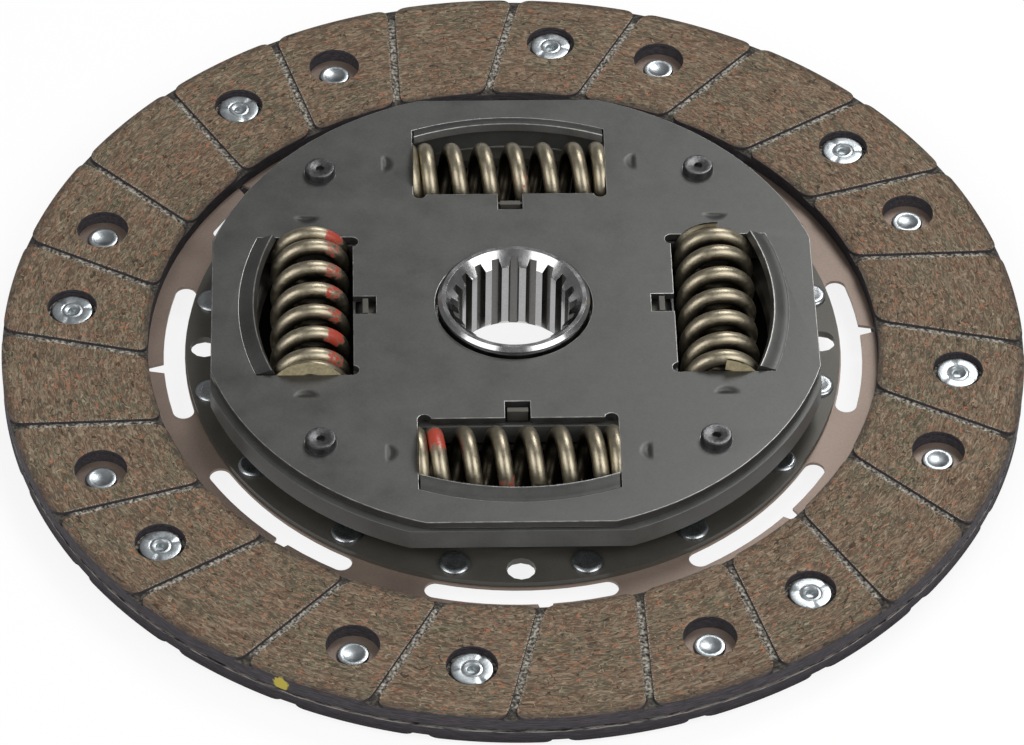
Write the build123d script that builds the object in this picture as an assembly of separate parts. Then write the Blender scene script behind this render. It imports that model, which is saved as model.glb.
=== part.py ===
"""A clutch disc with a four-spring torsion damper.

Two grooved friction facings are riveted to a thin cushion plate, which is riveted to the driven
plate. The driven plate and the cover plate are tied by four stop pins and cage the damper springs.
Between them lies the flange of the splined hub, which turns against the springs and against a
small pack of friction rings.

The axis is Z. z = 0 is the end of the hub on the flywheel side, z grows towards the gearbox, and
the four spring windows lie on X and Y.
"""

from build123d import *
from math import asin, cos, degrees, pi, radians, sin, tan
import os

# ---- Driving dimensions, in millimetres and degrees

# Friction facings, two alike
FACING_OUTER_RADIUS = 114.0
FACING_INNER_RADIUS = 81.5
FACING_THICKNESS = 3.5
FLYWHEEL_FACE_HEIGHT = 1.3
PAD_COUNT = 24
GROOVE_WIDTH = 1.6
GROOVE_DEPTH = 1.2
GROOVE_OFFSET = 22.3
GROOVE_ANGLE = 2.0

# Small round forms are many, so they are drawn with few flats: rivet and pin heads with the
# first number, shanks and their holes with the second, and rings inside the damper with the third
HEAD_SIDES = 12
SHANK_SIDES = 8
RING_SIDES = 24

# Rivets that hold the facings, half of them from each side
FACING_RIVETS_PER_SIDE = 8
FACING_RIVET_OUTSET = 1.55
FACING_RIVET_ANGLE = 38.5
FACING_RIVET_SHANK_RADIUS = 2.4
FACING_RIVET_HEAD_RADIUS = 4.65
FACING_RIVET_HEAD_HEIGHT = 1.3
FACING_RIVET_END_RADIUS = 3.5
FACING_RIVET_END_HEIGHT = 0.75
POCKET_CLEARANCE = 0.85
POCKET_FLOOR = 1.2
ACCESS_CLEARANCE = 0.25

# Cushion plate
CUSHION_INSET = 1.5
CUSHION_INNER_MARGIN = 4.9
CUSHION_THICKNESS = 0.75
CUSHION_SLOT_COUNT = 8
CUSHION_SLOT_OUTSET = 6.8
CUSHION_SLOT_WIDTH = 4.75
CUSHION_SLOT_HALF_ANGLE = 16.0
PADDLE_SLIT_ANGLE = 3.7
PADDLE_SLIT_WIDTH = 1.2
PADDLE_NOTCH_WIDTH = 4.5
PADDLE_NOTCH_LENGTH = 4.0

# Driven plate, dished so that its middle clears the flywheel bolts
DRIVEN_RIM_MARGIN = 4.1
DRIVEN_THICKNESS = 1.5
DISH_HEIGHT = 4.05
DISH_EDGE = 0.9
DISH_DRAFT = 18.0
DISH_LOBE_RADIUS = 6.0
DRIVEN_BORE_CLEARANCE = 0.12

# Rivets between the cushion plate and the driven plate, and the tooling holes between them
PLATE_RIVET_OUTSET = 6.7
PLATE_RIVET_PAIR_HALF_ANGLE = 12.0
PLATE_RIVET_SHANK_RADIUS = 2.4
PLATE_RIVET_HEAD_RADIUS = 3.45
PLATE_RIVET_HEAD_HEIGHT = 1.0
TOOLING_HOLE_RADIUS = 3.2
TOOLING_HOLE_STEP = 0.5

# Cover plate
COVER_RIM_WIDTH = 6.05
COVER_CORNER = 3.05
COVER_THICKNESS = 1.8
COVER_BORE_CLEARANCE = 0.6

# Windows in both plates, and the lips that keep the springs in
WINDOW_COUNT = 4
WINDOW_HALF_LENGTH = 21.85
WINDOW_INNER_GAP = 0.7
WINDOW_OUTER_GAP = 2.8
COVER_LIP_WIDTH = 4.0
DRIVEN_LIP_WIDTH = 2.5
LIP_HEIGHT = 0.9
RELIEF_RADIUS = 1.8
TAB_NOTCH_WIDTH = 5.5
TAB_NOTCH_DEPTH = 5.1

# Hub flange, which drives through the springs
FLANGE_THICKNESS = 5.1
FLANGE_SIDE_GAP = 0.85
FLANGE_WINDOW_OUTSET = 3.0
FLANGE_RIM_WIDTH = 7.2
FLANGE_CORNER = 4.1
FLANGE_WEB_MARGIN = 0.5
FLANGE_WEB_THICKNESS = 2.5
LUG_COUNT = 8
LUG_HEIGHT = 3.1
LUG_ROOT_GAP = 0.3

# Hub and its spline
HUB_LENGTH = 21.9
HUB_WALL = 3.0
HUB_EDGE = 0.8
SPLINE_TEETH = 20
SPLINE_TIP_RADIUS = 12.4
SPLINE_DEPTH = 1.5
SPLINE_GROOVE_WIDTH = 2.35
SPLINE_ROOT_WIDTH = 1.6
SPLINE_ANGLE = 16.2
SPLINE_CHAMFER_WIDTH = 1.7
SPLINE_CHAMFER_LENGTH = 2.2

# Stop pins, which tie the plates together and end the hub's travel
STOP_PIN_COUNT = 4
STOP_PIN_OUTSET = 3.7
STOP_PIN_SHOULDER_RADIUS = 4.5
STOP_PIN_END_RADIUS = 3.45
STOP_PIN_END_HEIGHT = 1.4
STOP_SLOT_CLEARANCE = 0.5
STOP_TRAVEL = 8.25

# Damper springs
SPRING_CIRCLE = 45.3
SPRING_OUTER_RADIUS = 8.9
SPRING_WIRE_RADIUS = 1.85
SPRING_TURNS = 7.4
SPRING_SEAT_GAP = 0.1
SPRING_CHORDS_PER_TURN = 8
SPRING_WIRE_SIDES = 6

# Friction pack round the hub
RING_MARGIN = 5.2
HUB_CLEARANCE = 0.5
BUSH_CLEARANCE = 0.08
BUSH_WALL = 1.9
BUSH_END = 0.4
WASHER_MARGIN = 2.0
WASHER_HUB_GAP = 3.1
RUNNING_GAP = 0.05
GEARBOX_RING_THICKNESS = 0.8
SUPPORT_PLATE_THICKNESS = 0.7
TAB_SIDE_GAP = 0.45
TAB_MARGIN = 2.1
TAB_THICKNESS = 1.3
TAB_HEIGHT = 2.9

# ---- Levels, from the flywheel side up

CUSHION_BASE = FLYWHEEL_FACE_HEIGHT + FACING_THICKNESS
CUSHION_TOP = CUSHION_BASE + CUSHION_THICKNESS
DRIVEN_TOP = CUSHION_TOP + DISH_HEIGHT + DRIVEN_THICKNESS
COVER_BASE = DRIVEN_TOP + FLANGE_THICKNESS + 2 * FLANGE_SIDE_GAP
COVER_TOP = COVER_BASE + COVER_THICKNESS
DAMPER_MIDDLE = (DRIVEN_TOP + COVER_BASE) / 2
WEB_BASE = DAMPER_MIDDLE - FLANGE_WEB_THICKNESS / 2
WEB_TOP = DAMPER_MIDDLE + FLANGE_WEB_THICKNESS / 2

# ---- Radii and angles that follow, from the springs out and then in

WINDOW_INNER_EDGE = SPRING_CIRCLE - SPRING_OUTER_RADIUS - WINDOW_INNER_GAP
WINDOW_OUTER_RADIUS = SPRING_CIRCLE + SPRING_OUTER_RADIUS + WINDOW_OUTER_GAP
STOP_PIN_CIRCLE = WINDOW_OUTER_RADIUS + STOP_PIN_OUTSET
COVER_LIP_ROOT = WINDOW_OUTER_RADIUS + COVER_LIP_WIDTH
DRIVEN_LIP_ROOT = WINDOW_OUTER_RADIUS + DRIVEN_LIP_WIDTH
DISH_TOP_RADIUS = DRIVEN_LIP_ROOT + DISH_EDGE
DISH_RADIUS = DISH_TOP_RADIUS + (DRIVEN_TOP - CUSHION_TOP) * tan(radians(DISH_DRAFT))
PLATE_RIVET_CIRCLE = DISH_RADIUS + PLATE_RIVET_OUTSET
DRIVEN_RIM_RADIUS = PLATE_RIVET_CIRCLE + DRIVEN_RIM_MARGIN
CUSHION_INNER_RADIUS = PLATE_RIVET_CIRCLE - CUSHION_INNER_MARGIN
CUSHION_SLOT_RADIUS = PLATE_RIVET_CIRCLE + CUSHION_SLOT_OUTSET
CUSHION_OUTER_RADIUS = FACING_OUTER_RADIUS - CUSHION_INSET
FACING_RIVET_CIRCLE = (FACING_OUTER_RADIUS + FACING_INNER_RADIUS) / 2 + FACING_RIVET_OUTSET
POCKET_RADIUS = FACING_RIVET_HEAD_RADIUS + POCKET_CLEARANCE
ACCESS_HOLE_RADIUS = POCKET_RADIUS + ACCESS_CLEARANCE
COVER_FLAT = COVER_LIP_ROOT + COVER_RIM_WIDTH
FLANGE_WINDOW_RADIUS = WINDOW_OUTER_RADIUS + FLANGE_WINDOW_OUTSET
FLANGE_FLAT = FLANGE_WINDOW_RADIUS + FLANGE_RIM_WIDTH
FLANGE_WEB_RADIUS = WINDOW_INNER_EDGE - FLANGE_WEB_MARGIN
RING_RADIUS = FLANGE_WEB_RADIUS - RING_MARGIN
TAB_RADIUS = WINDOW_INNER_EDGE - TAB_MARGIN
TAB_WIDTH = TAB_NOTCH_WIDTH - 2 * TAB_SIDE_GAP
SPLINE_ROOT_RADIUS = SPLINE_TIP_RADIUS + SPLINE_DEPTH
HUB_RADIUS = SPLINE_ROOT_RADIUS + HUB_WALL
BUSH_RADIUS = HUB_RADIUS + BUSH_CLEARANCE + BUSH_WALL

WINDOW_ANGLES = [360 / WINDOW_COUNT * i for i in range(WINDOW_COUNT)]
PIN_ANGLES = [360 / STOP_PIN_COUNT * (i + 0.5) for i in range(STOP_PIN_COUNT)]
ACCESS_ANGLE = FACING_RIVET_ANGLE - 360 / PAD_COUNT


def at(radius, angles):
    """Places on a circle round the axis, one for each angle."""
    return [Rot(0, 0, angle) * Pos(radius, 0) for angle in angles]


def steps(first, count):
    """Evenly spaced angles round the full circle."""
    return [first + 360 / count * i for i in range(count)]


def rivet_pair_angles():
    """Angles of the plate rivets, in pairs between the windows and the stop pins."""
    middles = steps(0, CUSHION_SLOT_COUNT)
    half = PLATE_RIVET_PAIR_HALF_ANGLE
    return [middle + side * half for middle in middles for side in (-1, 1)]


def discs(places, radius, sides):
    """The outlines of like holes, one at each place."""
    return Sketch() + [place * RegularPolygon(radius, sides) for place in places]


def plate(sketch, base, thickness):
    """A flat plate of the given outline."""
    return Pos(0, 0, base) * extrude(sketch, thickness)


def ring(outer, inner, base, thickness):
    """A ring of the friction pack, whose flats reach the outer radius and clear the inner one."""
    hole = RegularPolygon(inner, RING_SIDES, major_radius=False)
    return plate(RegularPolygon(outer, RING_SIDES) - hole, base, thickness)


def fasteners(places, stages):
    """Like rivets or pins, one at each place, each a stack of radius, sides, base and top."""
    fastener = Part()
    for radius, sides, base, top in stages:
        fastener += plate(RegularPolygon(radius, sides), base, top - base)
    return Part() + [place * fastener for place in places]


def turned(points):
    """A solid turned round the axis from a closed outline of radii and heights."""
    outline = make_face(Polyline([(r, 0, z) for r, z in points], close=True))
    return revolve(outline, Axis.Z)


# ---- Friction facings


def facing():
    """One facing, with its back at z = 0 and its grooved friction face up."""
    outline = Circle(FACING_OUTER_RADIUS) - Circle(FACING_INNER_RADIUS)
    rivets = at(FACING_RIVET_CIRCLE, steps(FACING_RIVET_ANGLE, FACING_RIVETS_PER_SIDE))
    access = at(FACING_RIVET_CIRCLE, steps(ACCESS_ANGLE, FACING_RIVETS_PER_SIDE))
    outline -= discs(rivets, FACING_RIVET_SHANK_RADIUS, SHANK_SIDES)
    outline -= discs(access, ACCESS_HOLE_RADIUS, HEAD_SIDES)
    pockets = discs(rivets, POCKET_RADIUS, HEAD_SIDES)
    body = plate(outline, 0, FACING_THICKNESS)
    body -= plate(pockets, POCKET_FLOOR, FACING_THICKNESS - POCKET_FLOOR)
    groove = Pos(0, GROOVE_OFFSET, FACING_THICKNESS) * Box(
        FACING_OUTER_RADIUS, GROOVE_WIDTH, 2 * GROOVE_DEPTH, align=(Align.MIN, Align.CENTER, Align.CENTER)
    )
    return body - [Rot(0, 0, angle) * groove for angle in steps(GROOVE_ANGLE, PAD_COUNT)]


def flipped(solid):
    """The same piece turned over onto the other side of the cushion plate.

    The turn puts its pockets over the access holes of the facing on the gearbox side.
    """
    turn = FACING_RIVET_ANGLE + ACCESS_ANGLE
    return Pos(0, 0, CUSHION_BASE) * Rot(0, 0, turn) * Rot(180, 0, 0) * solid


def facing_rivets():
    """The rivets whose heads lie in one facing, placed as that facing is."""
    back = -CUSHION_THICKNESS
    places = at(FACING_RIVET_CIRCLE, steps(FACING_RIVET_ANGLE, FACING_RIVETS_PER_SIDE))
    return fasteners(
        places,
        [
            (FACING_RIVET_END_RADIUS, HEAD_SIDES, back - FACING_RIVET_END_HEIGHT, back),
            (FACING_RIVET_SHANK_RADIUS, SHANK_SIDES, back, POCKET_FLOOR),
            (FACING_RIVET_HEAD_RADIUS, HEAD_SIDES, POCKET_FLOOR, POCKET_FLOOR + FACING_RIVET_HEAD_HEIGHT),
        ],
    )


# ---- Cushion plate


def cushion_plate():
    """The spring-steel plate between the facings, slotted and slit into paddles."""
    outline = Circle(CUSHION_OUTER_RADIUS) - Circle(CUSHION_INNER_RADIUS)
    end_angle = degrees(CUSHION_SLOT_WIDTH / 2 / CUSHION_SLOT_RADIUS)
    half = CUSHION_SLOT_HALF_ANGLE - end_angle
    slot_outer = CUSHION_SLOT_RADIUS + CUSHION_SLOT_WIDTH / 2
    slit_length = FACING_OUTER_RADIUS - slot_outer
    slit = Pos(slot_outer + slit_length / 2, 0) * Rectangle(slit_length, PADDLE_SLIT_WIDTH)
    notch = make_face(
        Polyline(
            (slot_outer - CUSHION_SLOT_WIDTH / 2, -PADDLE_NOTCH_WIDTH / 2),
            (slot_outer - CUSHION_SLOT_WIDTH / 2, PADDLE_NOTCH_WIDTH / 2),
            (slot_outer + PADDLE_NOTCH_LENGTH, PADDLE_SLIT_WIDTH / 2),
            (slot_outer + PADDLE_NOTCH_LENGTH, -PADDLE_SLIT_WIDTH / 2),
            close=True,
        )
    )
    for angle in steps(0, CUSHION_SLOT_COUNT):
        middle_line = CenterArc((0, 0), CUSHION_SLOT_RADIUS, angle - half, 2 * half)
        outline -= SlotArc(middle_line, CUSHION_SLOT_WIDTH)
        outline -= Rot(0, 0, angle + PADDLE_SLIT_ANGLE) * slit
        outline -= Rot(0, 0, angle + PADDLE_SLIT_ANGLE) * notch
    for angle in (FACING_RIVET_ANGLE, ACCESS_ANGLE):
        places = at(FACING_RIVET_CIRCLE, steps(angle, FACING_RIVETS_PER_SIDE))
        outline -= discs(places, FACING_RIVET_SHANK_RADIUS, SHANK_SIDES)
    plate_rivet_places = at(PLATE_RIVET_CIRCLE, rivet_pair_angles())
    outline -= discs(plate_rivet_places, PLATE_RIVET_SHANK_RADIUS, SHANK_SIDES)
    tooling_places = at(PLATE_RIVET_CIRCLE, WINDOW_ANGLES)
    outline -= discs(tooling_places, TOOLING_HOLE_RADIUS + TOOLING_HOLE_STEP, HEAD_SIDES)
    return plate(outline, CUSHION_BASE, CUSHION_THICKNESS)


# ---- Windows, shared by the driven plate and the cover plate


def window(outer_radius):
    """The outline of one window on +X, straight on three sides and round at its outer edge."""
    strip = Rectangle(outer_radius, 2 * WINDOW_HALF_LENGTH, align=(Align.MIN, Align.CENTER))
    return Circle(outer_radius) & (Pos(WINDOW_INNER_EDGE, 0) * strip)


def window_lip(root_radius, thickness):
    """The outer edge of a window on +X, bent up out of a plate whose lower face is at z = 0."""
    half_angle = degrees(asin(WINDOW_HALF_LENGTH / WINDOW_OUTER_RADIUS))
    section = Polyline(
        [
            (root_radius, 0, 0),
            (root_radius, 0, thickness),
            (WINDOW_OUTER_RADIUS, 0, thickness + LIP_HEIGHT),
            (WINDOW_OUTER_RADIUS + thickness / 2, 0, LIP_HEIGHT),
        ],
        close=True,
    )
    bent = revolve(make_face(section), Axis.Z, 2 * half_angle)
    return Rot(0, 0, -half_angle) * bent


def driven_plate():
    """The dished plate that the cushion plate is riveted to."""
    lobes = [place * Circle(DISH_LOBE_RADIUS) for place in at(STOP_PIN_CIRCLE, PIN_ANGLES)]
    dish = Circle(DISH_RADIUS) + lobes
    inside = offset(dish, -DRIVEN_THICKNESS)
    body = plate(Circle(DRIVEN_RIM_RADIUS), CUSHION_TOP, DRIVEN_THICKNESS)
    body += Pos(0, 0, CUSHION_TOP) * extrude(dish, DRIVEN_TOP - CUSHION_TOP, taper=DISH_DRAFT)
    body -= Pos(0, 0, CUSHION_TOP) * extrude(inside, DISH_HEIGHT, taper=DISH_DRAFT)
    cuts = Circle(BUSH_RADIUS + DRIVEN_BORE_CLEARANCE)
    cuts += [Rot(0, 0, angle) * window(DRIVEN_LIP_ROOT) for angle in WINDOW_ANGLES]
    plate_rivet_places = at(PLATE_RIVET_CIRCLE, rivet_pair_angles())
    cuts += discs(plate_rivet_places, PLATE_RIVET_SHANK_RADIUS, SHANK_SIDES)
    cuts += discs(at(STOP_PIN_CIRCLE, PIN_ANGLES), STOP_PIN_END_RADIUS, HEAD_SIDES)
    cuts += discs(at(PLATE_RIVET_CIRCLE, WINDOW_ANGLES), TOOLING_HOLE_RADIUS, HEAD_SIDES)
    body -= plate(cuts, CUSHION_TOP, DRIVEN_TOP - CUSHION_TOP)
    lip = window_lip(DRIVEN_LIP_ROOT, DRIVEN_THICKNESS)
    lip = Pos(0, 0, DRIVEN_TOP) * Rot(180, 0, 0) * lip
    return body + [Rot(0, 0, angle) * lip for angle in WINDOW_ANGLES]


def cover_plate():
    """The flat plate on the gearbox side of the springs."""
    outline = Circle(COVER_FLAT + COVER_CORNER) & Rectangle(2 * COVER_FLAT, 2 * COVER_FLAT)
    outline -= Circle(HUB_RADIUS + COVER_BORE_CLEARANCE)
    opening = window(COVER_LIP_ROOT)
    opening += Pos(WINDOW_INNER_EDGE, 0) * Rectangle(2 * TAB_NOTCH_DEPTH, TAB_NOTCH_WIDTH)
    relief = WINDOW_HALF_LENGTH - RELIEF_RADIUS / 2
    for side in (-1, 1):
        opening += Pos(WINDOW_INNER_EDGE, side * relief) * RegularPolygon(RELIEF_RADIUS, HEAD_SIDES)
    outline -= [Rot(0, 0, angle) * opening for angle in WINDOW_ANGLES]
    outline -= discs(at(STOP_PIN_CIRCLE, PIN_ANGLES), STOP_PIN_END_RADIUS, HEAD_SIDES)
    body = plate(outline, COVER_BASE, COVER_THICKNESS)
    lip = Pos(0, 0, COVER_BASE) * window_lip(COVER_LIP_ROOT, COVER_THICKNESS)
    return body + [Rot(0, 0, angle) * lip for angle in WINDOW_ANGLES]


def plate_rivets():
    """The rivets through the cushion plate and the driven plate."""
    top = CUSHION_TOP + DRIVEN_THICKNESS
    return fasteners(
        at(PLATE_RIVET_CIRCLE, rivet_pair_angles()),
        [
            (PLATE_RIVET_HEAD_RADIUS, HEAD_SIDES, CUSHION_BASE - PLATE_RIVET_HEAD_HEIGHT, CUSHION_BASE),
            (PLATE_RIVET_SHANK_RADIUS, SHANK_SIDES, CUSHION_BASE, top),
            (PLATE_RIVET_HEAD_RADIUS, HEAD_SIDES, top, top + PLATE_RIVET_HEAD_HEIGHT),
        ],
    )


def stop_pins():
    """The shouldered pins, peened over outside both plates."""
    base = DRIVEN_TOP - DRIVEN_THICKNESS - STOP_PIN_END_HEIGHT
    return fasteners(
        at(STOP_PIN_CIRCLE, PIN_ANGLES),
        [
            (STOP_PIN_END_RADIUS, HEAD_SIDES, base, DRIVEN_TOP),
            (STOP_PIN_SHOULDER_RADIUS, HEAD_SIDES, DRIVEN_TOP, COVER_BASE),
            (STOP_PIN_END_RADIUS, HEAD_SIDES, COVER_BASE, COVER_TOP + STOP_PIN_END_HEIGHT),
        ],
    )


# ---- Hub


def lugs():
    """The toothed outline by which the hub and its flange lock together."""
    radius = HUB_RADIUS + LUG_HEIGHT
    lug = Rectangle(radius, pi * radius / LUG_COUNT, align=(Align.MIN, Align.CENTER))
    return Circle(radius) & (Sketch() + [Rot(0, 0, angle) * lug for angle in steps(0, LUG_COUNT)])


def hub():
    """The splined sleeve that slides on the gearbox shaft."""
    outer = [
        (0, 0),
        (HUB_RADIUS - HUB_EDGE, 0),
        (HUB_RADIUS, HUB_EDGE),
        (HUB_RADIUS, HUB_LENGTH - HUB_EDGE),
        (HUB_RADIUS - HUB_EDGE, HUB_LENGTH),
        (0, HUB_LENGTH),
    ]
    body = turned(outer)
    body += plate(lugs(), WEB_BASE, FLANGE_WEB_THICKNESS)
    groove = Polyline(
        (0, -SPLINE_GROOVE_WIDTH / 2),
        (SPLINE_TIP_RADIUS, -SPLINE_GROOVE_WIDTH / 2),
        (SPLINE_ROOT_RADIUS, -SPLINE_ROOT_WIDTH / 2),
        (SPLINE_ROOT_RADIUS, SPLINE_ROOT_WIDTH / 2),
        (SPLINE_TIP_RADIUS, SPLINE_GROOVE_WIDTH / 2),
        (0, SPLINE_GROOVE_WIDTH / 2),
        close=True,
    )
    groove = make_face(groove)
    angles = steps(SPLINE_ANGLE, SPLINE_TEETH)
    bore = Circle(SPLINE_TIP_RADIUS) + [Rot(0, 0, angle) * groove for angle in angles]
    body -= extrude(bore, HUB_LENGTH)
    wide = SPLINE_TIP_RADIUS + SPLINE_CHAMFER_WIDTH
    countersink = Pos(0, 0, SPLINE_CHAMFER_LENGTH / 2) * Cone(
        wide, SPLINE_TIP_RADIUS, SPLINE_CHAMFER_LENGTH
    )
    body -= countersink
    body -= Pos(0, 0, HUB_LENGTH) * Rot(180, 0, 0) * countersink
    return body


def hub_flange():
    """The forged plate that carries the hub's torque to the springs."""
    outline = Circle(FLANGE_FLAT + FLANGE_CORNER) & Rectangle(2 * FLANGE_FLAT, 2 * FLANGE_FLAT)
    outline -= [Rot(0, 0, angle) * window(FLANGE_WINDOW_RADIUS) for angle in WINDOW_ANGLES]
    half = STOP_TRAVEL - degrees(STOP_SLOT_CLEARANCE / STOP_PIN_CIRCLE)
    slot_width = 2 * (STOP_PIN_SHOULDER_RADIUS + STOP_SLOT_CLEARANCE)
    for angle in PIN_ANGLES:
        middle_line = CenterArc((0, 0), STOP_PIN_CIRCLE, angle - half, 2 * half)
        outline -= SlotArc(middle_line, slot_width)
    body = plate(outline, DAMPER_MIDDLE - FLANGE_THICKNESS / 2, FLANGE_THICKNESS)
    recess = (FLANGE_THICKNESS - FLANGE_WEB_THICKNESS) / 2
    for base in (WEB_BASE - recess, WEB_TOP):
        body -= plate(Circle(FLANGE_WEB_RADIUS), base, recess)
    seat = lugs() + Circle(HUB_RADIUS + LUG_ROOT_GAP)
    return body - plate(seat, WEB_BASE, FLANGE_WEB_THICKNESS)


# ---- Damper springs


def spring_height(turn):
    """How far along the spring its wire is after so many turns, with a closed turn at each end."""
    length = 2 * (WINDOW_HALF_LENGTH - SPRING_SEAT_GAP)
    closed = 2 * SPRING_WIRE_RADIUS
    start = SPRING_WIRE_RADIUS / 2
    open_turns = SPRING_TURNS - 2
    pitch = (length - 2 * start - 2 * closed) / open_turns
    along = start + closed * min(turn, 1)
    along += pitch * min(max(turn - 1, 0), open_turns)
    along += closed * max(turn - 1 - open_turns, 0)
    return along - length / 2


def spring():
    """A coil spring along X, round the axis of the window on +Y, with its ends ground flat."""
    half_length = WINDOW_HALF_LENGTH - SPRING_SEAT_GAP
    coil_radius = SPRING_OUTER_RADIUS - SPRING_WIRE_RADIUS
    count = round(SPRING_TURNS * SPRING_CHORDS_PER_TURN)
    rings = []
    for i in range(count + 1):
        turn = SPRING_TURNS * i / count
        along = spring_height(turn)
        section = []
        for side in range(SPRING_WIRE_SIDES):
            around = 2 * pi * side / SPRING_WIRE_SIDES
            radius = coil_radius + SPRING_WIRE_RADIUS * cos(around)
            x = along + SPRING_WIRE_RADIUS * sin(around)
            x = max(-half_length, min(half_length, x))
            angle = 2 * pi * turn
            section.append(Vector(x, radius * cos(angle), radius * sin(angle)))
        rings.append(section)
    faces = [Face(Wire.make_polygon(rings[0])), Face(Wire.make_polygon(rings[-1]))]
    for here, there in zip(rings, rings[1:]):
        for side in range(SPRING_WIRE_SIDES):
            after = (side + 1) % SPRING_WIRE_SIDES
            faces.append(Face(Wire.make_polygon([here[side], here[after], there[after]])))
            faces.append(Face(Wire.make_polygon([here[side], there[after], there[side]])))
    coil = Solid(Shell(faces))
    return Pos(0, SPRING_CIRCLE, DAMPER_MIDDLE) * coil


# ---- Friction pack


def hub_bush():
    """The plastic sleeve that centres the driven plate on the hub."""
    base = DRIVEN_TOP - DRIVEN_THICKNESS - BUSH_END
    top = WEB_BASE - RUNNING_GAP
    return ring(BUSH_RADIUS, HUB_RADIUS + BUSH_CLEARANCE, base, top - base)


def friction_ring_flywheel_side():
    """The ring between the driven plate and the hub's web."""
    top = WEB_BASE - RUNNING_GAP
    return ring(RING_RADIUS, BUSH_RADIUS + RUNNING_GAP, DRIVEN_TOP, top - DRIVEN_TOP)


def support_plate():
    """The steel plate that backs the friction ring, with a bent tab in each window's notch."""
    base = WEB_TOP + RUNNING_GAP + GEARBOX_RING_THICKNESS
    body = ring(RING_RADIUS, HUB_RADIUS + HUB_CLEARANCE, base, SUPPORT_PLATE_THICKNESS)
    arm_length = TAB_RADIUS - RING_RADIUS + TAB_WIDTH / 2
    arm = Pos(TAB_RADIUS - arm_length / 2, 0, base + SUPPORT_PLATE_THICKNESS / 2) * Box(
        arm_length, TAB_WIDTH, SUPPORT_PLATE_THICKNESS
    )
    tab = Pos(TAB_RADIUS - TAB_THICKNESS / 2, 0, base + TAB_HEIGHT / 2) * Box(
        TAB_THICKNESS, TAB_WIDTH, TAB_HEIGHT
    )
    for angle in WINDOW_ANGLES:
        body += Rot(0, 0, angle) * (arm + tab)
    return body


def wave_washer():
    """The spring washer that presses the friction pack together, drawn flat as it is squeezed."""
    base = WEB_TOP + RUNNING_GAP + GEARBOX_RING_THICKNESS + SUPPORT_PLATE_THICKNESS
    return ring(RING_RADIUS - WASHER_MARGIN, HUB_RADIUS + WASHER_HUB_GAP, base, COVER_BASE - base)


PIECES = {
    "facing_gearbox_side": Pos(0, 0, CUSHION_TOP) * facing(),
    "facing_flywheel_side": flipped(facing()),
    "facing_rivets_gearbox_side": Pos(0, 0, CUSHION_TOP) * facing_rivets(),
    "facing_rivets_flywheel_side": flipped(facing_rivets()),
    "cushion_plate": cushion_plate(),
    "driven_plate": driven_plate(),
    "cover_plate": cover_plate(),
    "plate_rivets": plate_rivets(),
    "stop_pins": stop_pins(),
    "hub": hub(),
    "hub_flange": hub_flange(),
    "hub_bush": hub_bush(),
    "friction_ring_flywheel_side": friction_ring_flywheel_side(),
    "friction_ring_gearbox_side": ring(
        RING_RADIUS, HUB_RADIUS + HUB_CLEARANCE, WEB_TOP + RUNNING_GAP, GEARBOX_RING_THICKNESS
    ),
    "support_plate": support_plate(),
    "wave_washer": wave_washer(),
}
for number, angle in enumerate(WINDOW_ANGLES, start=1):
    PIECES[f"damper_spring_{number}"] = Rot(0, 0, angle) * spring()

os.makedirs("parts", exist_ok=True)
for name, shape in PIECES.items():
    export_step(shape, f"parts/{name}.step")
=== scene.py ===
"""Finish and fine detail for a clutch disc, laid out as an add-on and run as a script.

Every length is in metres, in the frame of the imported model: Z is the disc's axis, the hub's lower
end lies at z = 0, and the spring windows lie on X and Y.
"""

import math
import random
from functools import partial

import bmesh
import bpy
from bpy.props import FloatProperty, FloatVectorProperty, IntProperty, PointerProperty
from mathutils import Matrix, Vector


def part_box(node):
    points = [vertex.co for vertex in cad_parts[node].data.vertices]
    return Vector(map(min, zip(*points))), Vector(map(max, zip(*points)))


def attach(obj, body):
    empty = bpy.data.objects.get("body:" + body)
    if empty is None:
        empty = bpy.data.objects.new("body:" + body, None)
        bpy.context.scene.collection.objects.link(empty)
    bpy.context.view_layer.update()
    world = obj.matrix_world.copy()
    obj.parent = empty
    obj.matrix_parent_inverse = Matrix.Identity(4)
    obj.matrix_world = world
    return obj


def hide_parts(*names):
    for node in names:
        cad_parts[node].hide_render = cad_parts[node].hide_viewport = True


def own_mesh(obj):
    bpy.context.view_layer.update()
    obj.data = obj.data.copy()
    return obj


bl_info = {
    "name": "Clutch disc looks",
    "version": (1, 0, 0),
    "blender": (4, 5, 0),
    "location": "View3D > Sidebar > Clutch disc",
    "description": "Builds the finish, fasteners, springs and facings of a clutch disc",
    "category": "Object",
}

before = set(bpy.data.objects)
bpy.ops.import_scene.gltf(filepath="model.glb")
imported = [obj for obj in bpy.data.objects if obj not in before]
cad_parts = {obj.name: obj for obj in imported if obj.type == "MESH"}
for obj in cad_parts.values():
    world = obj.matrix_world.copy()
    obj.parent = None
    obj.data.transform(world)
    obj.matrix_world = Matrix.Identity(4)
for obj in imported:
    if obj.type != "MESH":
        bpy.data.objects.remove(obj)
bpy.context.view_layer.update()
MM = 0.001


def top_of(node):
    """The height of a node's upper side."""
    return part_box(node)[1].z


def base_of(node):
    """The height of a node's lower side."""
    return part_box(node)[0].z


# ---- Sizes that the model fixes

FACING_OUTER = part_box("facing_gearbox_side")[1].x
FACING_BACK = base_of("facing_gearbox_side")
FACING_THICKNESS = top_of("facing_gearbox_side") - FACING_BACK
CUSHION_BASE = base_of("cushion_plate")
CUSHION_TOP = top_of("cushion_plate")
CUSHION_MIDDLE = (CUSHION_BASE + CUSHION_TOP) / 2
SPRING_LOW, SPRING_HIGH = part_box("damper_spring_1")
COVER_BASE = base_of("cover_plate")

FACING_INNER = 81.5 * MM
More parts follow.
